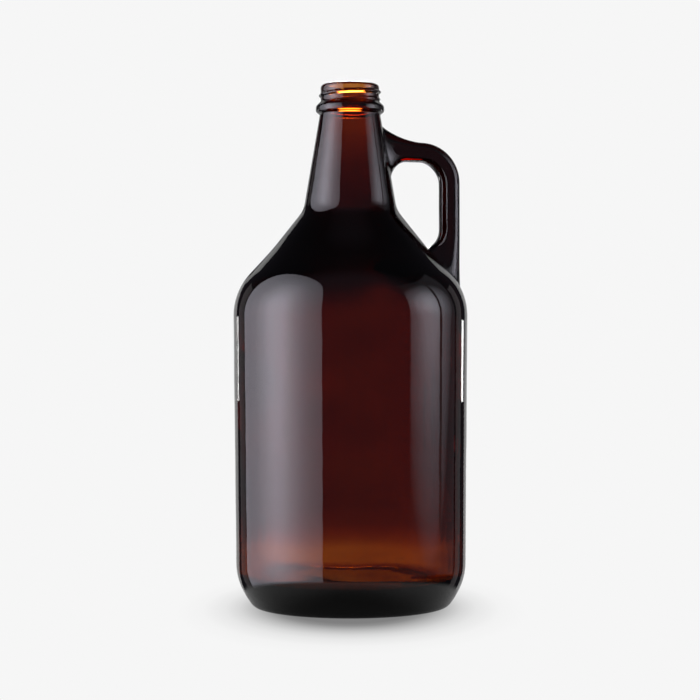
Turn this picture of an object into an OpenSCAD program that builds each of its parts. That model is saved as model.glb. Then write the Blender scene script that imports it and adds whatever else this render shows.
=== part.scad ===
// Handled glass growler, moulded in one piece, standing on its base.
// The origin is on the bottle's axis in the plane of the bearing ring. The handle lies along +X.

/* [Overall] */
// Height from the bearing ring to the sealing face
height = 301; // [290:1:320]
// Outside diameter at the top of the body, where the shoulder's curves meet it
body_d = 135.4; // [133:0.2:138]
// Outside diameter at the bottom of the body, where the heel's curve begins
heel_d = 132.4; // [131:0.2:133]
// Height of the corner between the shoulder and the body
shoulder_z = 181.4; // [178:0.2:184]
// Height of the corner between the neck and the shoulder
neck_z = 228.7; // [227:0.1:231]

/* [Finish] */
// Diameter of the mouth's bore
bore_d = 28; // [26:0.2:28.4]
// Diameter of the finish wall under the thread
finish_d = 34.2; // [34:0.1:34.6]
// Depth of the finish wall from the sealing face
finish_h = 17.2; // [17:0.1:17.6]
// Rounding of the lip's outer edge
lip_round = 2; // [1.2:0.1:2.1]
// Diameter over the thread
thread_d = 36.4; // [36:0.1:37.4]
// Rise of the thread in one turn
thread_pitch = 4.23; // [4:0.01:4.4]
// Turns of thread
thread_turns = 1.5; // [1:0.1:1.6]
// Diameter of the transfer bead
bead_d = 40.2; // [39.6:0.1:40.6]

/* [Wall] */
// Thickness of the glass in the neck, shoulder and body
wall = 4; // [3.5:0.1:4.5]
// Thickness of the glass in the base
base_t = 6.5; // [5:0.1:8]
// Height of the push-up under the base
push_up = 4.5; // [3:0.1:6]
// Inside diameter of the bearing ring
ring_d = 99; // [96:0.5:101]

/* [Handle] */
// Distance of the grip's centre line from the axis
grip_x = 60.9; // [59:0.1:61.2]
// Height of the arm's centre line
arm_z = 263; // [260:0.2:265]
// Radial thickness of the handle
handle_t = 11.5; // [11:0.1:12.5]
// Width of the handle across its plane
handle_w = 14; // [12:0.2:16]
// Radius of the bend in the handle's centre line
bend_r = 17.5; // [15:0.1:18]

/* [Hidden] */
$fn = 128;
arc_steps = 8;
glass = [0.23, 0.09, 0.04, 0.85];
glass_dark = [0.16, 0.06, 0.03, 0.85];

// The wall's outside, from the neck's top to the bearing ring: [radius, height, rounding] of each corner.
finish_z = height - finish_h;
neck_top_r = 17.7;
neck_r = 27.1;
cone_r = 44.5;
cone_drop = 22.1;
cone_z = neck_z - cone_drop;
heel_z = 14.3;
foot_r = 56.2;
outside = [[neck_top_r, finish_z, 0], [neck_r, neck_z, 15], [cone_r, cone_z, 150],
           [body_d / 2, shoulder_z, 36], [heel_d / 2, heel_z, 35], [foot_r, 0, 5.5], [0, 0, 0]];

// The wall's inside, a wall's thickness in, with a thicker heel and base.
base_top = push_up + base_t;
inside = [[bore_d / 2, finish_z, 0], [neck_r - wall, neck_z - wall / 4, 17],
          [cone_r - 0.7 * wall, cone_z - 0.7 * wall, 150],
          [body_d / 2 - wall, shoulder_z - wall / 2, 33],
          [heel_d / 2 - 1.1 * wall, base_top - 2.5, 15], [0, base_top + 0.5, 0]];

function unit(v) = v / norm(v);
function xy(corner) = [corner[0], corner[1]];
function cross2(a, b) = a[0] * b[1] - a[1] * b[0];

// The arc that rounds corner k of a list, as points from one straight side to the next.
function rounding(corners, k, steps = arc_steps) =
    let (p = xy(corners[k]),
         before = unit(p - xy(corners[k - 1])),
         after = unit(xy(corners[k + 1]) - p),
         turn = atan2(cross2(before, after), before * after),
         rho = corners[k][2],
         start = p - before * rho * tan(abs(turn) / 2),
         side = [-before[1], before[0]] * sign(turn))
    [for (i = [0:steps])
        let (a = turn * i / steps)
        start + side * rho
            + [[cos(a), -sin(a)], [sin(a), cos(a)]] * (-side * rho)];

function last(list) = list[len(list) - 1];
function reversed(list) = [for (i = [len(list) - 1:-1:0]) list[i]];
function part(list, first, end) = [for (i = [first:end]) list[i]];

neck_out = rounding(outside, 1);
cone_out = rounding(outside, 2, 4);
body_out = rounding(outside, 3);
heel_out = rounding(outside, 4);
foot_out = rounding(outside, 5);
neck_in = rounding(inside, 1);
cone_in = rounding(inside, 2, 4);
body_in = rounding(inside, 3);
heel_in = rounding(inside, 4);

// One zone of the wall, between an outside outline and an inside one, both from top to bottom.
module zone(outer, inner) {
    rotate_extrude() polygon(concat(outer, reversed(inner)));
}

// ---- Finish ----

// The lip's top face keeps a narrow flat land between its two roundings.
module finish() {
    bore_r = bore_d / 2;
    finish_r = finish_d / 2;
    lip_in = 0.8;
    lip = [[finish_r, finish_z, 0], [finish_r, height, lip_round], [bore_r, height, lip_in],
           [bore_r, finish_z, 0]];
    color(glass) rotate_extrude()
        polygon(concat([xy(lip[0])], rounding(lip, 1, 6), rounding(lip, 2, 4), [xy(lip[3])]));
}

// A helical ridge with a rounded crest, which rises out of the wall at its upper end
// and runs out slowly into the transfer bead's slope at its lower end.
thread_top = 3.9;     // depth of its upper end below the sealing face
thread_start = 25;    // direction of its upper end, from the handle's
thread_step = 10;     // degrees from one ring of points to the next
thread_half = 1.25;   // half of the ridge's width
lead_in = 30;         // degrees over which it rises out of the wall
run_out = 210;        // degrees over which it sinks back
function thread_height(a) =
    (thread_d - finish_d) / 2 * min(1, a / lead_in, (thread_turns * 360 - a) / run_out);

module thread() {
    turn = thread_turns * 360;
    count = round(turn / thread_step);
    profile = [[-1, 0], [-0.6, 0.6], [-0.22, 1], [0.22, 1], [0.6, 0.6], [1, 0]];
    rings = [for (k = [1:count - 1])
        let (a = k * turn / count, h = thread_height(a), z = height - thread_top - thread_pitch * a / 360)
        [for (p = profile)
            let (r = finish_d / 2 + h * p[1], b = thread_start - a)
            [r * cos(b), r * sin(b), z + thread_half * p[0]]]];
    color(glass_dark) sweep(rings);
}

// A closed solid through rings of points, each ring in the same order.
module sweep(rings) {
    n = len(rings[0]);
    m = len(rings);
    sides = [for (k = [0:m - 2], i = [0:n - 1], half = [0:1])
        let (j = (i + 1) % n)
        half == 0 ? [k * n + i, k * n + j, (k + 1) * n + j]
                  : [k * n + i, (k + 1) * n + j, (k + 1) * n + i]];
    ends = [[for (i = [n - 1:-1:0]) i], [for (i = [0:n - 1]) (m - 1) * n + i]];
    polyhedron(points = [for (r = rings) each r], faces = concat(sides, ends), convexity = 6);
}

// The bead stands out of the finish wall: a concave slope above, a round crest and a short underside.
module transfer_bead() {
    finish_r = finish_d / 2;
    crest = bead_d / 2;
    bead_top = height - 9.5;
    bead = [[finish_r, bead_top + 2, 0], [finish_r, bead_top, 0.8], [crest, bead_top - 2.6, 2],
            [crest - 0.2, finish_z + 1, 1.4], [neck_top_r, finish_z, 0], [finish_r, finish_z, 0]];
    color(glass_dark) rotate_extrude()
        polygon(concat(rounding(bead, 1, 4), rounding(bead, 2, 6), rounding(bead, 3, 6),
                       [xy(bead[4]), xy(bead[5])]));
}

// ---- Wall ----

module neck() {
    color(glass) zone([xy(outside[0]), neck_out[0]], [xy(inside[0]), neck_in[0]]);
}

// The hollow curve from the neck into the shoulder's slope.
module neck_root() {
    color(glass_dark) zone(concat(neck_out, [cone_out[0]]), concat(neck_in, [cone_in[0]]));
}

// The slope and the round curve from it into the body.
module shoulder() {
    color(glass) zone(concat(cone_out, body_out), concat(cone_in, body_in));
}

module body_wall() {
    color(glass_dark) zone([last(body_out), heel_out[0]], [last(body_in), heel_in[0]]);
}

// The heel's inside curve is shared between the heel and the insweep below it.
heel_split = arc_steps / 2;

module heel() {
    color(glass) zone(heel_out, part(heel_in, 0, heel_split));
}

module insweep() {
    color(glass_dark) zone(concat([last(heel_out)], foot_out), part(heel_in, heel_split, arc_steps));
}

// The base: a flat bearing ring, a short rise inside it, and the shallow dome of the push-up.
rise = 3;
rise_h = 1.6;
dome_steps = 6;
function dome(edge_r, edge_z, top_z) =
    [for (i = [0:dome_steps])
        let (t = i / dome_steps)
        [edge_r * (1 - t), edge_z + (top_z - edge_z) * (1 - (1 - t) * (1 - t))]];

module base() {
    ring_r = ring_d / 2;
    top = last(heel_in);
    color(glass) zone(concat([last(foot_out), [ring_r, 0]], dome(ring_r - rise, rise_h, push_up)),
                      concat([top], [[0, base_top + 0.5]]));
}

// ---- Handle ----
// Stations along the centre line, in the handle's plane. Each has a point, the outward direction there,
// and the distances from the centre line to the outer face, the inner face and the sides.

half_t = handle_t / 2;
half_w = handle_w / 2;
bend_x = grip_x - bend_r;
bend_z = arm_z - bend_r;
ring_points = 20;
squareness = 0.86;

// The arm's root: its top swells slowly towards the neck, and its underside takes a round fillet.
root_x = 18;
root_fillet = 11;
fillet_x = 36;
root_swell = 7.5;
root_reach = 25;
root_curve = 1.6;
root_spread = 3;
fillet_cut = 0.96;    // the fillet stops short of a full quarter, so that it never turns back
function arm_top(x) = half_t + root_swell * pow(max(0, bend_x - x) / root_reach, root_curve);
function arm_under(x) =
    let (d = min(max(0, fillet_x - x), fillet_cut * root_fillet))
    half_t + root_fillet - sqrt(root_fillet * root_fillet - d * d);
function arm_side(x) = half_w + root_spread * pow(max(0, fillet_x - x) / (fillet_x - root_x), 2);
arm_stations = [for (x = [root_x, 21, 23.5, 25.5, 28, 31, fillet_x, bend_x])
    [[x, arm_z], [0, 1], arm_top(x), arm_under(x), arm_side(x)]];

bend_swell = 0.7;
bend_steps = 8;
function bend_station(a) =
    [[bend_x, bend_z] + bend_r * [sin(a), cos(a)], [sin(a), cos(a)],
     half_t, half_t + bend_swell * sin(2 * a), half_w];

// The foot: the outer face runs straight down and the inner face flares onto the shoulder.
flare_z = 218.5;
flare_r = 9.5;
foot_drops = [0, 3.5, 6, 8, 9.2, 14, 20, 27, 36, 47];
foot_spread = 4;
foot_curve = 1.5;
flare_cut = 0.98;
function flare(drop) =
    let (d = min(drop, flare_cut * flare_r))
    flare_r - sqrt(flare_r * flare_r - d * d);
function foot_side(drop) = half_w + foot_spread * pow(drop / last(foot_drops), foot_curve);
function foot_station(drop) =
    [[grip_x, flare_z - drop], [1, 0], half_t, half_t + flare(drop), foot_side(drop)];

bend_stations = [for (k = [0:bend_steps]) bend_station(90 * k / bend_steps)];
grip_end = [[grip_x, flare_z], [1, 0], half_t, half_t, half_w];
foot_stations = [for (d = foot_drops) foot_station(d)];

// A rounded-square ring of points across the handle at one station.
function soften(v) = sign(v) * pow(abs(v), squareness);
function ring(s) =
    [for (i = [0:ring_points - 1])
        let (a = 360 * i / ring_points,
             u = soften(cos(a)) * (cos(a) > 0 ? s[2] : s[3]),
             v = soften(sin(a)) * s[4])
        [s[0][0] + s[1][0] * u, v, s[0][1] + s[1][1] * u]];

module bar(stations) {
    sweep([for (s = stations) ring(s)]);
}

// The whole outside of the wall, filled in.
module solid_wall(outer) {
    rotate_extrude() polygon(concat([[0, outer[0][1]]], outer, [[0, last(outer)[1]]]));
}

module handle_arm() {
    color(glass_dark) difference() {
        bar(arm_stations);
        solid_wall([xy(outside[0]), neck_out[0]]);
    }
}

module handle_grip() {
    color(glass) bar(concat(bend_stations, [grip_end]));
}

module handle_foot() {
    color(glass_dark) difference() {
        bar(foot_stations);
        solid_wall(concat(neck_out, cone_out, body_out, [heel_out[0]]));
    }
}

finish();
thread();
transfer_bead();
neck();
neck_root();
shoulder();
body_wall();
heel();
insweep();
base();
handle_arm();
handle_grip();
handle_foot();
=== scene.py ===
"""Handled growler in brown amber glass, moulded in one piece.

The glass is one closed surface: the outside from the push-up's centre to the lip, and the inside
from the lip down to the floor. The handle grows out of it through two blended roots, so no inner
faces stand between the neck, the shoulder and the handle. Lengths are in metres.
"""
import math

import bmesh
import bpy
import numpy as np
from mathutils import Matrix, Vector


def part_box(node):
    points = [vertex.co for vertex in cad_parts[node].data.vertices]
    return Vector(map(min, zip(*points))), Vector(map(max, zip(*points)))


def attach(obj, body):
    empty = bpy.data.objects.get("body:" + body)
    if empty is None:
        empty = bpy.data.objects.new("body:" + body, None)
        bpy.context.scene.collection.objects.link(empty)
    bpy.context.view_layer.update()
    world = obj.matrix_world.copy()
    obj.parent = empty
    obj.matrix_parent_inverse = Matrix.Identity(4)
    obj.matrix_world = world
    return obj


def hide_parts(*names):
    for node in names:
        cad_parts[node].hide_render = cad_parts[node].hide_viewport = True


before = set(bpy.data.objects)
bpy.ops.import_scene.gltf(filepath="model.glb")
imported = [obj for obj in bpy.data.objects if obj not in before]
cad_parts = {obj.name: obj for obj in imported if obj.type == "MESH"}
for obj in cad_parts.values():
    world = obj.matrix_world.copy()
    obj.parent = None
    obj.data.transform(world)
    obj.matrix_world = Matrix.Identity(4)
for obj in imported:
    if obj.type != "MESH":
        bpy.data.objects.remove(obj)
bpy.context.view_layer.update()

MM = 0.001

# ---------------------------------------------------------------- sizes, from the frame

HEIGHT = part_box("finish")[1].z
FINISH_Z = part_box("finish")[0].z
FINISH_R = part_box("finish")[1].y
BEAD_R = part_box("transfer_bead")[1].y
BODY_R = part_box("body_wall")[1].y
HEEL_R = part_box("heel")[1].y
GRIP_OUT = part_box("handle_grip")[1].x
GRIP_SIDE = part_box("handle_grip")[1].y

SKIN = 0.15 * MM            # the plain wall stays this far inside its outline, as room for the seam
GRIP_ROOM = 0.1 * MM        # the same for the grip
BODY_EXTRA = 0.2            # mm that the body's outline gains, which the skin and the ripple take back

# ---------------------------------------------------------------- camera

FOCAL, SENSOR = 97.7, 36            # mm
DISTANCE = 1.098
EYE = Vector((0, 0, 0.1477))
HANDLE_TURN = math.radians(17)      # how far the handle is turned away from the picture's plane
VIEW_TURN = Matrix.Rotation(-HANDLE_TURN, 4, "Z")
LEAN = math.radians(-0.12)
SHIFT = -0.0007                     # the bottle stands a hair right of the middle


def make_camera():
    """A level camera in front of the bottle, rolled by the bottle's slight lean."""
    data = bpy.data.cameras.new("camera")
    data.lens, data.sensor_width = FOCAL, SENSOR
    data.clip_start, data.clip_end = 0.05, 30
    camera = bpy.data.objects.new("camera", data)
    bpy.context.scene.collection.objects.link(camera)
    azimuth = -math.pi / 2 - HANDLE_TURN
    camera.location = EYE + DISTANCE * Vector((math.cos(azimuth), math.sin(azimuth), 0))
    turn = Matrix.Rotation(-HANDLE_TURN, 3, "Z") @ Matrix.Rotation(math.pi / 2, 3, "X")
    camera.rotation_euler = (turn @ Matrix.Rotation(LEAN, 3, "Z")).to_euler()
    data.shift_x = SHIFT
    bpy.context.scene.camera = camera


make_camera()

# ---------------------------------------------------------------- the wall's two outlines

def rounded_path(corners, step=0.05 * MM):
    """Corners (radius, height, rounding) joined by straight lines, each corner replaced by the
    tangent arc of its rounding. Returns closely spaced points in order."""
    points = [corners[:1, :2]]
    for before, corner, after in zip(corners[:-2], corners[1:-1], corners[2:]):
        into = (corner - before)[:2] / np.linalg.norm((corner - before)[:2])
        out = (after - corner)[:2] / np.linalg.norm((after - corner)[:2])
        turn = math.atan2(into[0] * out[1] - into[1] * out[0], into @ out)
        rho = corner[2]
        start = corner[:2] - into * rho * math.tan(abs(turn) / 2)
        side = np.array([-into[1], into[0]]) * np.sign(turn)
        a = np.linspace(0, turn, max(3, int(abs(turn) * rho / step)))[:, None]
        swung = np.hstack([np.cos(a) * side[0] - np.sin(a) * side[1],
                           np.sin(a) * side[0] + np.cos(a) * side[1]])
        points.append(start + rho * (side - swung))
    points.append(corners[-1:, :2])
    return np.concatenate(points)


class Outline:
    """A rounded path through corners given in millimetres, read by the distance along it."""

    def __init__(self, *corners):
        path = rounded_path(np.array(corners, float) * MM)
        self.r, self.z = path[:, 0], path[:, 1]
        steps = np.hypot(np.diff(self.r), np.diff(self.z))
        self.s = np.concatenate([[0], np.cumsum(steps)])

    def at(self, s):
        """Radius and height at a distance along the outline."""
        return np.interp(s, self.s, self.r), np.interp(s, self.s, self.z)


finish_r, bead_r = FINISH_R / MM, BEAD_R / MM
body_r, heel_r = BODY_R / MM + BODY_EXTRA, HEEL_R / MM
top, collar = HEIGHT / MM, FINISH_Z / MM
land_r = 14.9               # middle of the lip's narrow flat, where the outside and the inside meet
bore_r = 14
BEARING_R = 52 * MM         # middle of the bearing ring
PUSH_UP_R = 45 * MM         # edge of the push-up, short of its corner with the ring

OUTSIDE = Outline(
    (0, 4.5, 0), (17, 4.5, 250), (46.5, 1.6, 2.5),                      # push-up
    (49.7, 0, 0.9), (56.2, 0, 5.5), (heel_r, 14.3, 35),                 # bearing ring, insweep, heel
    (body_r, 181.4, 36), (44.5, 206.6, 150), (27.1, 228.7, 15),         # shoulder and the neck's root
    (17.7, collar - 0.3, 0.6),                                          # the neck's top
    (bead_r, collar + 1.5, 2.1), (bead_r - 0.1, top - 12.6, 2.2),       # transfer bead
    (finish_r, top - 9.8, 1.2), (finish_r, top, 2), (land_r, top, 0))   # finish and lip
INSIDE = Outline(
    (land_r, top, 0), (bore_r, top, 0.8), (bore_r, collar, 2),          # bore
    (15.5, collar - 8, 20), (20.9, 230, 8), (24.2, 219.5, 12),          # neck and its root
    (37.6, 199.5, 90), (63.2, 181, 28),                                 # shoulder
    (62.2, 54, 25), (64.1, 36, 25), (63.4, 14.5, 7),                    # body and the thinner heel
    (47, 15, 30), (24, 18, 40), (0, 18.5, 0))                           # floor


def up(z):
    """Distance along the outside at a height, from the middle of the bearing ring up."""
    start = np.argmax(OUTSIDE.r > BEARING_R)
    return float(np.interp(z, OUTSIDE.z[start:], OUTSIDE.s[start:]))


def down(z):
    """Distance along the inside at a height, from the lip down to its lowest point."""
    end = np.argmin(INSIDE.z)
    return float(np.interp(-z, -INSIDE.z[:end], INSIDE.s[:end]))


# ---------------------------------------------------------------- relief on the wall

THREAD_TOP = HEIGHT - 3.9 * MM
THREAD_PITCH = 4.23 * MM
THREAD_RISE = 1.1 * MM
THREAD_HALF = 1.35 * MM
THREAD_POWER = 0.8                  # below one makes the ridge fuller than a cosine bump
THREAD_START = math.radians(25)
THREAD_TURN = math.radians(540)
LEAD_IN, RUN_OUT = math.radians(30), math.radians(210)
SEAM_HALF = math.radians(0.8)
SEAM_RISE = 0.09 * MM
OUTER_RIPPLE, OUTER_CLIMB = 0.12 * MM, 10       # depth, and how fast it changes up the wall
INNER_RIPPLE, INNER_CLIMB = 0.6 * MM, 8
OUTER_PHASES = (0.3, 1.1, 2.9, 4.2, 0.8, 5.1)
INNER_PHASES = (2.2, 0.4, 5.0, 1.3, 3.7, 0.9)
WAVES = [(1, 11, 0.5), (2, 17, 0.35), (3, 9, 0.3), (5, 23, 0.2), (7, 31, 0.12), (11, 14, 0.08)]
STREAK = 0.07 * MM
THINNER = 2.2 * MM                              # a thin place in the front of the shoulder
THIN_ANGLE, THIN_WIDE = math.radians(-90), 0.2
THIN_Z, THIN_TALL = 187 * MM, 10 * MM


def thread(angle, z):
    """Height of the thread's ridge: a full cosine bump across a helix that falls by one pitch a
    turn, rising out of the wall over the lead-in and sinking back over the run-out."""
    ridge = np.zeros(np.broadcast(angle, z).shape)
    for turn in range(2):
        a = (THREAD_START - angle) % (2 * np.pi) + 2 * np.pi * turn
        tall = np.clip(np.minimum(a / LEAD_IN, (THREAD_TURN - a) / RUN_OUT), 0, 1)
        across = (z - (THREAD_TOP - THREAD_PITCH * a / (2 * np.pi))) / THREAD_HALF
        bump = 0.5 + 0.5 * np.cos(np.pi * np.clip(across, -1, 1))
        ridge = np.maximum(ridge, THREAD_RISE * tall * bump ** THREAD_POWER)
    return ridge


def seam(angle):
    """One on the two mould seams, in the handle's plane, falling to zero beside them."""
    off = np.abs((angle + np.pi / 2) % np.pi - np.pi / 2)
    return np.clip(1 - off / SEAM_HALF, 0, 1)


def ripple(angle, z, phases):
    """A slow unevenness between -1 and 1: a sum of sine waves (number round the wall, rate up it,
    size), divided by the sum of their sizes."""
    total = sum(size * np.sin(n * angle + rise * z + phase)
                for (n, rise, size), phase in zip(WAVES, phases))
    return total / sum(size for _, _, size in WAVES)


def between(value, low, high):
    """Zero below low, one above high, and a straight ramp between them."""
    return np.clip((value - low) / (high - low), 0, 1)


def outside_point(s, angle):
    """Point of the outside: the outline turned about the axis, less the skin and a shallow ripple,
    with the seams and the thread added to its radius. Seams and ripple fade out at the foot and
    the lip."""
    r, z = OUTSIDE.at(s)
    wall = between(z, 2 * MM, 10 * MM) * between(HEIGHT - z, 2 * MM, 6 * MM)
    shallow = 0.5 + 0.5 * ripple(angle, z * OUTER_CLIMB, OUTER_PHASES)
    r = (r - SKIN * between(r, 0, 10 * MM) + SEAM_RISE * seam(angle) * wall
         - OUTER_RIPPLE * shallow * wall + thread(angle, z) * (s > up(FINISH_Z)))
    return np.stack([r * np.cos(angle), r * np.sin(angle), z + 0 * r], axis=-1)


def inside_point(s, angle):
    """Point of the inside: the outline turned about the axis, with a slow ripple, two crossed sets
    of fine slanting waves and a rounded thin place added to its radius, because the glass isn't
    evenly thick. All of them fade out in the bore and at the middle of the floor."""
    r, z = INSIDE.at(s)
    free = between(r, 5 * MM, 25 * MM) * between(FINISH_Z - z, 0, 20 * MM)
    streaks = np.sin(23 * angle + 9 * z) * np.sin(37 * angle - 14 * z + 1)
    aside = (angle - THIN_ANGLE + np.pi) % (2 * np.pi) - np.pi
    thin = np.exp(-(aside / THIN_WIDE) ** 2 - ((z - THIN_Z) / THIN_TALL) ** 2)
    r = r + free * (INNER_RIPPLE * ripple(angle, z * INNER_CLIMB, INNER_PHASES)
                    + STREAK * streaks + THINNER * thin)
    return np.stack([r * np.cos(angle), r * np.sin(angle), z + 0 * r], axis=-1)


# ---------------------------------------------------------------- handle

HALF_T = 5.75 * MM              # half the handle's thickness
BEND_R = 17.5 * MM
BEND_FULL = 0.7 * MM            # how much the bend's inner side swells half way round
GRIP_X = GRIP_OUT - HALF_T - GRIP_ROOM
ARM_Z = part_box("handle_grip")[1].z - HALF_T
BEND_X, BEND_Z = GRIP_X - BEND_R, ARM_Z - BEND_R
ARM_RING_X = 34 * MM            # the arm's plain part starts here, and its root is inside this
FOOT_RING_Z = 218 * MM          # the grip's plain part ends here, and its foot is below this
SQUARENESS = 0.86               # one would be an ellipse
RIDGE_FROM = 0.9985             # sine of the angle at which the mould seam's ridge starts
ARM_SWELL, SWELL_REACH, SWELL_POWER = 7.5 * MM, 25 * MM, 1.6
ARM_RINGS, BEND_RINGS, GRIP_RINGS = 6, 16, 11
WALL_RINGS, ROOT_RINGS = 5, 16  # rings of a root that lie on the wall, and that stand off it
ROOT_CROWDING = 1.3             # above one, they lie closer together near the wall
INSET = 0.96                    # size of the smaller footprint that tells which way is inwards


def handle_ring(centre, outward, up_side, under_side, side, phi):
    """Ring across the handle: an ellipse softened towards a rounded square, whose half-heights differ
    outwards and inwards. phi is 0 on the +Y side and a quarter turn outwards."""
    sine, cosine = np.sin(phi), np.cos(phi)
    u = np.sign(sine) * np.abs(sine) ** SQUARENESS * np.where(sine > 0, up_side, under_side)
    v = np.sign(cosine) * np.abs(cosine) ** SQUARENESS * side
    ridge = SEAM_RISE * between(np.abs(sine), RIDGE_FROM, 1)
    u = u + np.sign(sine) * ridge
    return np.stack([centre[0] + outward[0] * u, v, centre[1] + outward[1] * u], axis=-1)


def arm_ring(x, phi):
    """Ring of the arm at a distance from the axis. Its top swells towards the neck, by a power of
    the distance from the bend."""
    swell = ARM_SWELL * (max(0, BEND_X - x) / SWELL_REACH) ** SWELL_POWER
    return handle_ring((x, ARM_Z), (0, 1), HALF_T + swell, HALF_T, GRIP_SIDE, phi)


def bend_ring(angle, phi):
    """Ring in the bend, which turns from the arm's direction to the grip's."""
    sine, cosine = math.sin(angle), math.cos(angle)
    centre = (BEND_X + BEND_R * sine, BEND_Z + BEND_R * cosine)
    inner = HALF_T + BEND_FULL * math.sin(2 * angle)
    return handle_ring(centre, (sine, cosine), HALF_T, inner, GRIP_SIDE, phi)


def grip_ring(z, phi):
    """Ring of the grip at a height."""
    return handle_ring((GRIP_X, z), (1, 0), HALF_T, HALF_T, GRIP_SIDE, phi)


def handle_tube(phi_arm, phi_foot):
    """The handle's plain part as a grid of rings, from the arm to the foot. The points' places round
    the ring drift from those of the arm's root to those of the foot's."""
    arm = [(arm_ring, x) for x in np.linspace(ARM_RING_X, BEND_X, ARM_RINGS)]
    bend = [(bend_ring, a) for a in np.linspace(0, np.pi / 2, BEND_RINGS + 1)[1:]]
    grip = [(grip_ring, z) for z in np.linspace(BEND_Z, FOOT_RING_Z, GRIP_RINGS + 1)[1:]]
    stations = arm + bend + grip
    drift = np.linspace(0, 1, len(stations))
    return np.array([make(value, phi_arm * (1 - d) + phi_foot * d)
                     for (make, value), d in zip(stations, drift)])


def blended_root(rim_s, rim_angle, phi, print_s, print_half, ring, ring_slope, pull_wall, pull_ring):
    """Root of the handle, as rings from a window's rim to the handle's first ring. The first rings lie
    on the wall and turn the window's square rim into an oval footprint. The others follow cubic
    curves that leave the wall along it and meet the ring along the handle, with slopes of a pull
    times the straight distance between their ends."""
    middle, half = 0.5 * (print_s[0] + print_s[1]), 0.5 * (print_s[1] - print_s[0])

    def footprint(scale):
        return middle + half * scale * np.sin(phi), print_half * scale * np.cos(phi)

    print_s_at, print_angle = footprint(1)
    flat = [outside_point(rim_s + (print_s_at - rim_s) * t, rim_angle + (print_angle - rim_angle) * t)
            for t in np.linspace(0, 1, WALL_RINGS + 1)[1:]]
    start = flat[-1]
    inward = outside_point(*footprint(INSET)) - start
    inward /= np.linalg.norm(inward, axis=1)[:, None]
    chord = np.linalg.norm(ring - start, axis=1)[:, None]
    leave = inward * chord * pull_wall[:, None]
    meet = ring_slope / np.linalg.norm(ring_slope, axis=1)[:, None] * chord * pull_ring[:, None]
    rings = list(flat)
    for t in np.linspace(0, 1, ROOT_RINGS + 2)[1:-1] ** ROOT_CROWDING:
        rings.append((2 * t**3 - 3 * t**2 + 1) * start + (t**3 - 2 * t**2 + t) * leave
                     + (3 * t**2 - 2 * t**3) * ring + (t**3 - t**2) * meet)
    return np.array(rings)


# ---------------------------------------------------------------- the glass, put together

COLUMNS = 224
RING = 128              # points round the handle, and round each window in the wall
ARM_WINDOW = (242.5 * MM, 281 * MM)
FOOT_WINDOW = (166 * MM, 214 * MM)
ARM_PRINT = (244.5 * MM, 279 * MM)
FOOT_PRINT = (170 * MM, 209.5 * MM)
ARM_PRINT_HALF, FOOT_PRINT_HALF = math.radians(28), math.radians(11.5)
ARM_WINDOW_HALF, FOOT_WINDOW_HALF = math.radians(33), math.radians(15)

even = np.arange(-COLUMNS // 2, COLUMNS // 2) * 2 * np.pi / COLUMNS
beside = math.radians(0.4)
angles = np.sort(np.concatenate([even, [-beside, beside, np.pi - beside, -np.pi + beside]]))
plane = int(np.argmin(np.abs(angles)))          # the column in the handle's plane


def window_columns(half_angle):
    """How many columns lie on each side of the handle's plane within an angle."""
    return int(np.sum((angles > 1e-9) & (angles < half_angle)))


arm_columns, foot_columns = window_columns(ARM_WINDOW_HALF), window_columns(FOOT_WINDOW_HALF)
arm_rows, foot_rows = RING // 2 - 2 * arm_columns, RING // 2 - 2 * foot_columns


def spaced(start, *stretches):
    """Distances from start, evenly spaced within each stretch (end, number of rows)."""
    rows = [np.array([start])]
    for end, count in stretches:
        rows.append(np.linspace(rows[-1][-1], end, count + 1)[1:])
    return np.concatenate(rows)


# Rows of the wall: the distance along the outline that each stretch reaches, and its number of
# rows, which is larger where the outline curves or the handle is joined.
ring_s = float(OUTSIDE.s[np.argmax(OUTSIDE.r > PUSH_UP_R)])
lip_s = float(OUTSIDE.s[-1])
corner_s = float(INSIDE.s[np.argmin(INSIDE.z)])
outer_rows = spaced(
    2 * MM, (ring_s, 9), (up(1 * MM), 24), (up(24 * MM), 16), (up(FOOT_WINDOW[0]), 36),
    (up(FOOT_WINDOW[1]), foot_rows), (up(ARM_WINDOW[0]), 16), (up(ARM_WINDOW[1]), arm_rows),
    (up(FINISH_Z - 1 * MM), 2), (up(HEIGHT - 9 * MM), 26), (up(HEIGHT - 2 * MM), 24), (lip_s, 12))
inner_rows = spaced(
    0, (down(HEIGHT - 1 * MM), 8), (down(FINISH_Z + 4 * MM), 4), (down(240 * MM), 14),
    (down(215 * MM), 14), (down(150 * MM), 28), (down(26 * MM), 28), (corner_s, 16),
    (float(INSIDE.s[-1]) - 2 * MM, 14))[1:]

foot_first = int(np.argmin(np.abs(outer_rows - up(FOOT_WINDOW[0]))))
arm_first = int(np.argmin(np.abs(outer_rows - up(ARM_WINDOW[0]))))


def window_rim(first, rows, columns, outward_up):
    """The rim of a window as (row, column) indices, anticlockwise from the middle of its +Y side,
    where outward_up says whether the handle's outer face meets its upper or its lower edge."""
    half = rows // 2
    across = np.arange(columns, -columns, -1)
    away = 1 if outward_up else -1
    u = np.concatenate([np.full(half, columns), across, np.full(rows, -columns), -across,
                        np.full(half, columns)])
    v = np.concatenate([np.arange(half), np.full(2 * columns, half), np.arange(half, -half, -1),
                        np.full(2 * columns, -half), np.arange(-half, 0)])
    return first + half + away * v, plane + u, np.arctan2(v / half, u / columns) % (2 * np.pi)


def grid_faces(index, closed):
    """Faces of a grid of vertex numbers, joined round its rows when closed."""
    right = np.roll(index, -1, axis=1) if closed else index[:, 1:]
    left = index if closed else index[:, :-1]
    return np.stack([left[:-1], right[:-1], right[1:], left[1:]], axis=-1)


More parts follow.
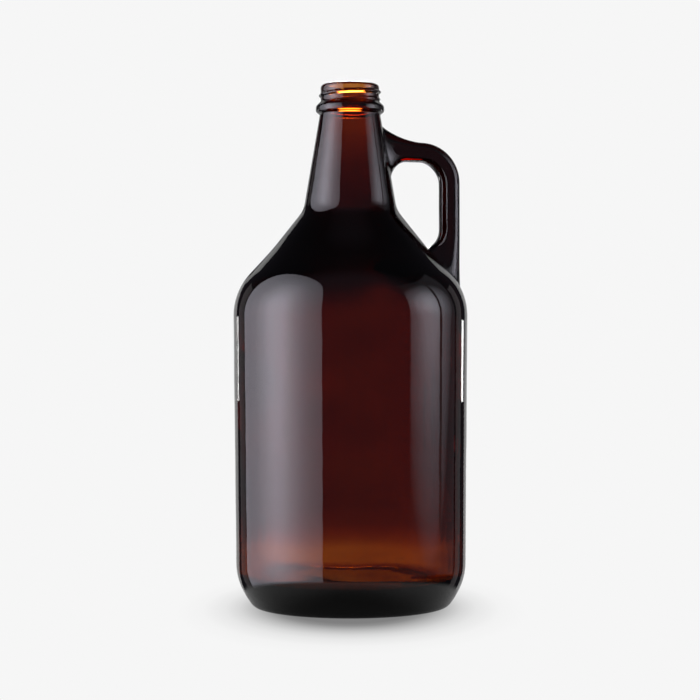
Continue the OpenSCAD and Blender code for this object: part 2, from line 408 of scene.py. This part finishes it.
def build_glass():
    """The wall's grid with its two windows, the handle's grid sewn into them, and the two poles."""
    wall = np.concatenate([outside_point(outer_rows[:, None], angles[None, :]),
                           inside_point(inner_rows[:, None], angles[None, :])])
    rows, columns = wall.shape[:2]
    index = np.arange(rows * columns).reshape(rows, columns)
    faces = grid_faces(index, closed=True)
    keep = np.ones(faces.shape[:2], bool)
    for first, count, half in ((arm_first, arm_rows, arm_columns), (foot_first, foot_rows, foot_columns)):
        keep[first:first + count, plane - half:plane + half] = False

    arm_row, arm_col, phi_arm = window_rim(arm_first, arm_rows, arm_columns, True)
    foot_row, foot_col, phi_foot = window_rim(foot_first, foot_rows, foot_columns, False)
    phi_arm, phi_foot = np.unwrap(phi_arm), np.unwrap(phi_foot)
    tube = handle_tube(phi_arm, phi_foot)

    under = between(-np.sin(phi_arm), 0, 1)
    slope = arm_ring(ARM_RING_X + 0.5 * MM, phi_arm) - tube[0]
    arm_root = blended_root(
        outer_rows[arm_row], angles[arm_col], phi_arm, (up(ARM_PRINT[0]), up(ARM_PRINT[1])),
        ARM_PRINT_HALF, tube[0], slope,
        pull_wall=0.35 + 0.7 * under, pull_ring=1.15 - 0.05 * under)

    inner_side, outer_side = between(-np.sin(phi_foot), 0, 1), between(np.sin(phi_foot), 0, 1)
    slope = grip_ring(FOOT_RING_Z + 0.5 * MM, phi_foot) - tube[-1]
    foot_root = blended_root(
        outer_rows[foot_row], angles[foot_col], phi_foot, (up(FOOT_PRINT[1]), up(FOOT_PRINT[0])),
        FOOT_PRINT_HALF, tube[-1], slope,
        pull_wall=0.3 + 1.0 * inner_side ** 2 + 0.5 * outer_side ** 2,
        pull_ring=1.0 + 0.4 * inner_side ** 2)

    handle = np.concatenate([arm_root, tube, foot_root[::-1]])
    first_new = rows * columns
    handle_index = first_new + np.arange(handle.shape[0] * RING).reshape(handle.shape[0], RING)
    handle_index = np.vstack([index[arm_row, arm_col], handle_index, index[foot_row, foot_col]])
    handle_faces = grid_faces(handle_index, closed=True).reshape(-1, 4)

    poles = np.array([[0, 0, OUTSIDE.z[0]], [0, 0, INSIDE.z[-1]]])
    pole_index = first_new + handle.shape[0] * RING
    fans = np.concatenate([
        np.stack([np.full(columns, pole_index + k), row, np.roll(row, -1)], axis=1)
        for k, row in enumerate((index[0], index[-1]))])

    points = np.concatenate([wall.reshape(-1, 3), handle.reshape(-1, 3), poles])
    return points, [*faces[keep].tolist(), *handle_faces.tolist(), *fans.tolist()]


def make_piece(name, points, faces, material):
    """A smooth mesh object at the origin, with unused points removed and faces turned outwards."""
    mesh = bpy.data.meshes.new(name)
    mesh.from_pydata(points, [], faces)
    work = bmesh.new()
    work.from_mesh(mesh)
    bmesh.ops.delete(work, geom=[v for v in work.verts if not v.link_faces], context="VERTS")
    bmesh.ops.recalc_face_normals(work, faces=work.faces)
    work.to_mesh(mesh)
    work.free()
    mesh.polygons.foreach_set("use_smooth", np.ones(len(mesh.polygons), bool))
    mesh.materials.append(material)
    piece = bpy.data.objects.new(name, mesh)
    bpy.context.scene.collection.objects.link(piece)
    return piece


# ---------------------------------------------------------------- materials

class Nodes:
    """A material's node tree with short calls to add and join nodes."""

    def __init__(self, tree):
        self.tree = tree
        tree.nodes.clear()

    def add(self, kind, **values):
        node = self.tree.nodes.new(kind)
        for key, value in values.items():
            if hasattr(node, key):
                setattr(node, key, value)
            else:
                node.inputs[key.replace("_", " ")].default_value = value
        return node

    def join(self, source, target, out=0, into=0):
        self.tree.links.new(source.outputs[out], target.inputs[into])
        return target


def ramp(nodes, stops):
    """A colour ramp of greys through (place, grey) stops."""
    node = nodes.add("ShaderNodeValToRGB")
    points = node.color_ramp.elements
    while len(points) < len(stops):
        points.new(0.5)
    for point, (place, grey) in zip(points, stops):
        point.position, point.color = place, (grey, grey, grey, 1)
    return node


AMBER_TAKEN = (370, 740, 1350)      # absorption per metre of red, green and blue


def amber_glass():
    """Brown amber container glass: clear surface, colour taken by depth, faint ripple and handling haze."""
    material = bpy.data.materials.new("amber_glass")
    material.use_nodes = True
    nodes = Nodes(material.node_tree)
    out = nodes.add("ShaderNodeOutputMaterial")
    glass = nodes.add("ShaderNodeBsdfPrincipled", Base_Color=(1, 1, 1, 1), IOR=1.52,
                      Transmission_Weight=1.0)
    nodes.join(glass, out)
    densest = max(AMBER_TAKEN) / 0.95       # keeps the absorption colour's blue above zero
    taken = nodes.add("ShaderNodeVolumeAbsorption", Density=densest)
    taken.inputs["Color"].default_value = (*[1 - a / densest for a in AMBER_TAKEN], 1)
    nodes.join(taken, out, into="Volume")

    where = nodes.add("ShaderNodeTexCoord")
    haze = nodes.add("ShaderNodeTexNoise", Scale=35.0, Detail=4.0, Roughness=0.6)
    nodes.join(where, haze, out="Object", into="Vector")
    rough = ramp(nodes, [(0.35, 0.004), (0.6, 0.012), (0.8, 0.03)])
    nodes.join(haze, rough, into="Fac")
    nodes.join(rough, glass, into="Roughness")

    slow = nodes.add("ShaderNodeTexNoise", Scale=60.0, Detail=2.0, Roughness=0.5)
    nodes.join(where, slow, out="Object", into="Vector")
    bump = nodes.add("ShaderNodeBump", Strength=0.12, Distance=0.0006)
    nodes.join(slow, bump, into="Height")
    nodes.join(bump, glass, into="Normal")
    return material


# ---------------------------------------------------------------- stage

# Places on the stage are told as the camera sees them: x to the right, y away, z up, with the
# bottle's axis at the origin. Directions round the bottle are in degrees from the one towards the
# camera, positive to the right.

PALE = 0.922                    # the pale ground as the camera sees it
ROOM = 0.1                      # the dim room in front of the bottle
OVERHEAD = 0.025                # the darker room above and beside it
ROOM_TINT = (1, 0.92, 1.15)
SCREEN_R = 0.6                  # distance of the curved screens from the bottle's axis
SCREEN_COLUMNS = 61
COOL = (0.9, 0.88, 1.0)
WHITE = (1, 1, 1)
DUSK = (1, 0.9, 0.95)
FLOOR_R, FLOOR_SIDES = 0.4, 96
SHADOW_SPAN = (0.1, 0.178, 0.1)     # half-lengths of the oval where the shadow ends
SHADOW_TONES = [(0.4, 0.23), (0.456, 0.3), (0.55, 0.54), (0.64, 0.75), (0.72, 0.87), (0.85, 0.97),
                (1, 1)]
PATCH_CENTRE = (0, -0.035, 0)       # the part of the floor that the glass sees
PATCH_FADE = (0.08, 0.1)
PATCH_SHARE = 0.45


def stage_piece(name, points, faces, material):
    """A mesh that stands on the stage, turned to the camera's own direction."""
    mesh = bpy.data.meshes.new(name)
    mesh.from_pydata(points, [], faces)
    mesh.materials.append(material)
    piece = bpy.data.objects.new(name, mesh)
    piece.rotation_euler.z = -HANDLE_TURN
    bpy.context.scene.collection.objects.link(piece)
    return piece


def place_on_screen(degrees, height):
    """Point of the curved screens at a direction round the bottle and a height."""
    a = np.radians(degrees)
    return SCREEN_R * np.sin(a), -SCREEN_R * np.cos(a), height


def glowing(name, colour, lamp, reach, stops, tall=1.0):
    """Emission that falls with distance from the lamp's centre along a ramp of (place, share) stops,
    where place 1 is at the reach, and heights count less by the factor tall."""
    material = bpy.data.materials.new(name)
    material.use_nodes = True
    nodes = Nodes(material.node_tree)
    out = nodes.add("ShaderNodeOutputMaterial")
    glow = nodes.add("ShaderNodeEmission", Color=(*colour, 1))
    where = nodes.add("ShaderNodeTexCoord")
    off = nodes.add("ShaderNodeVectorMath", operation="SUBTRACT")
    off.inputs[1].default_value = lamp
    nodes.join(where, off, out="Object")
    flat = nodes.add("ShaderNodeVectorMath", operation="MULTIPLY")
    flat.inputs[1].default_value = (1 / reach, 1 / reach, tall / reach)
    nodes.join(off, flat)
    far = nodes.join(flat, nodes.add("ShaderNodeVectorMath", operation="LENGTH"))
    fall = ramp(nodes, [(place, share / stops[0][1]) for place, share in stops])
    nodes.join(far, fall, out="Value")
    power = nodes.add("ShaderNodeMath", operation="MULTIPLY")
    power.inputs[1].default_value = stops[0][1]
    nodes.join(fall, power)
    nodes.join(power, glow, into="Strength")
    nodes.join(glow, out)
    return material


def even_glow(name, colour, strength):
    """Emission of the same strength all over."""
    return glowing(name, colour, (0, 0, 0), 1.0, [(0, strength), (1, strength)])


def curved_screen(name, directions, heights, material, squareness=None):
    """Upright strip of a cylinder round the bottle, seen in the glass but not by the camera. Its
    heights are its foot, the spring of its top and its crown. With a squareness its top is a
    superellipse's half between the last two, else it is level at the crown."""
    u = np.linspace(-1, 1, SCREEN_COLUMNS)
    degrees = (directions[0] + directions[1]) / 2 + u * (directions[1] - directions[0]) / 2
    low, spring, crown = heights
    rise = (1 - np.abs(u) ** squareness) ** (1 / squareness) if squareness else 1 + 0 * u
    foot = np.stack(np.broadcast_arrays(*place_on_screen(degrees, low)), axis=1)
    head = np.stack(place_on_screen(degrees, spring + (crown - spring) * rise), axis=1)
    index = np.arange(2 * len(degrees)).reshape(2, -1)
    screen = stage_piece(name, np.concatenate([foot, head]),
                         grid_faces(index, closed=False).reshape(-1, 4).tolist(), material)
    screen.visible_camera = False


def make_world():
    """A pale ground for the camera. For the glass it is pale only straight behind the bottle, and a
    dim room elsewhere, graded by the direction's share towards the camera."""
    world = bpy.data.worlds.new("studio")
    bpy.context.scene.world = world
    world.use_nodes = True
    nodes = Nodes(world.node_tree)
    out = nodes.add("ShaderNodeOutputWorld")
    pale = nodes.add("ShaderNodeBackground", Color=(PALE, PALE, PALE, 1))
    dim = nodes.add("ShaderNodeBackground", Strength=1.0)
    where = nodes.add("ShaderNodeTexCoord")
    facing = nodes.add("ShaderNodeVectorMath", operation="DOT_PRODUCT")
    facing.inputs[1].default_value = VIEW_TURN @ Vector((0, -0.5, 0))
    nodes.join(where, facing, out="Generated")
    lift = nodes.add("ShaderNodeMath", operation="ADD")
    lift.inputs[1].default_value = 0.5
    nodes.join(facing, lift, out="Value")
    shade = ramp(nodes, [(0.0, PALE), (0.011, PALE), (0.022, OVERHEAD), (0.5, OVERHEAD),
                         (0.7, ROOM), (1.0, ROOM)])
    nodes.join(lift, shade)
    tinted = nodes.add("ShaderNodeVectorMath", operation="MULTIPLY")
    tinted.inputs[1].default_value = ROOM_TINT
    nodes.join(shade, tinted)
    nodes.join(tinted, dim)
    which = nodes.add("ShaderNodeLightPath")
    mix = nodes.add("ShaderNodeMixShader")
    nodes.join(which, mix, out="Is Camera Ray")
    nodes.join(dim, mix, into=1)
    nodes.join(pale, mix, into=2)
    nodes.join(mix, out)


def make_lights():
    """Screens that only the glass sees. In front and beside: a broad round-topped scrim lit from
    behind on the left, two narrow ones with a dim gap between them on the right, and dim side
    cards. Behind: grey cards that edge the sides, a short bright strip on either side, a ground
    below and a panel above, and a small lamp high up that shines into the mouth."""
    scrim = glowing("scrim_left", COOL, place_on_screen(-72, 0.25), 0.8,
                    [(0, 6.3), (0.12, 5.7), (0.25, 3.8), (0.39, 2.4), (0.52, 1.7), (0.65, 1.4), (1, 0.9)],
                    tall=0.6)
    curved_screen("scrim_left", (-121, -26), (-0.3, 0.25, 1.16), scrim, squareness=2.1)
    scrim = glowing("scrim_right", COOL, place_on_screen(80, 0.3), 0.36,
                    [(0, 3.9), (0.14, 3.4), (0.28, 2.8), (0.42, 2.2), (0.56, 1.4), (0.7, 0.9), (1, 0.15)])
    curved_screen("scrim_right_near", (57, 92.5), (-0.1, 0.75, 0.75), scrim)
    curved_screen("scrim_right_far", (96, 118), (-0.1, 0.75, 0.75), scrim)
    dusk = even_glow("side_card", DUSK, 0.2)
    curved_screen("scrim_gap", (92.5, 96), (-0.1, 0.75, 0.75), dusk)
    curved_screen("side_card_left", (-136, -122), (-0.3, 0.42, 0.42), dusk)
    curved_screen("side_card_right", (121, 133), (-0.3, 0.42, 0.42), dusk)
    grey = even_glow("rim_card", WHITE, 0.5)
    curved_screen("rim_card_left", (-169, -148), (-0.3, 0.75, 0.75), grey)
    curved_screen("rim_card_right", (146, 169), (-0.3, 0.75, 0.75), grey)
    white = even_glow("rim_strip", WHITE, 4.5)
    curved_screen("rim_strip_left", (-144, -137.5), (0.1, 0.175, 0.175), white)
    curved_screen("rim_strip_right", (135, 141.5), (0.1, 0.17, 0.17), white)
    ground = even_glow("ground_behind", WHITE, 0.85)
    curved_screen("ground_behind", (163, 197), (-0.45, 0.06, 0.06), ground)
    haze = glowing("backdrop_top", WHITE, place_on_screen(180, 0.38), 0.2, [(0, 1.1), (0.5, 0.9), (1, 0)])
    curved_screen("backdrop_top", (160, 200), (0.27, 0.56, 0.56), haze)
    lamp = even_glow("mouth_lamp", WHITE, 55.0)
    curved_screen("mouth_lamp", (170, 190), (0.62, 0.8, 0.8), lamp)


def make_floor():
    """A pale round floor, as bright as the ground behind, with a soft oval shadow round the bottle's
    foot, longer towards the camera and away from it. The glass sees the floor dimmer and only in a
    round patch under the bottle and in front of it, so that the scrims show down to its foot."""
    turn = np.linspace(0, 2 * np.pi, FLOOR_SIDES + 1)[:-1]
    points = np.stack([FLOOR_R * np.cos(turn), FLOOR_R * np.sin(turn), 0 * turn], axis=1)
    material = bpy.data.materials.new("floor")
    material.use_nodes = True
    nodes = Nodes(material.node_tree)
    out = nodes.add("ShaderNodeOutputMaterial")
    where = nodes.add("ShaderNodeTexCoord")
    oval = nodes.add("ShaderNodeMapping", vector_type="TEXTURE")
    oval.inputs["Scale"].default_value = SHADOW_SPAN
    nodes.join(where, oval, out="Object")
    near = nodes.add("ShaderNodeVectorMath", operation="LENGTH")
    nodes.join(oval, near)
    shadow = ramp(nodes, [(place, PALE * tone) for place, tone in SHADOW_TONES])
    nodes.join(near, shadow, out="Value")
    bright = nodes.join(shadow, nodes.add("ShaderNodeEmission", Strength=1.0))
    dim = nodes.join(shadow, nodes.add("ShaderNodeEmission", Strength=PATCH_SHARE))
    clear = nodes.add("ShaderNodeBsdfTransparent")
    far = nodes.add("ShaderNodeVectorMath", operation="DISTANCE")
    far.inputs[1].default_value = PATCH_CENTRE
    nodes.join(where, far, out="Object")
    fade = nodes.add("ShaderNodeMapRange", interpolation_type="SMOOTHSTEP")
    fade.inputs["From Min"].default_value, fade.inputs["From Max"].default_value = PATCH_FADE
    nodes.join(far, fade, out="Value", into="Value")
    patch = nodes.join(fade, nodes.add("ShaderNodeMixShader"))
    nodes.join(dim, patch, into=1)
    nodes.join(clear, patch, into=2)
    which = nodes.add("ShaderNodeLightPath")
    both = nodes.join(which, nodes.add("ShaderNodeMixShader"), out="Is Camera Ray")
    nodes.join(patch, both, into=1)
    nodes.join(bright, both, into=2)
    nodes.join(both, out)
    stage_piece("floor", points, [list(range(len(points)))], material)


# ---------------------------------------------------------------- assembly

glass = make_piece("growler_glass", *build_glass(), amber_glass())
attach(glass, "root")
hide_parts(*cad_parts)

make_world()
make_lights()
make_floor()
bpy.context.scene.view_settings.view_transform = "Standard"
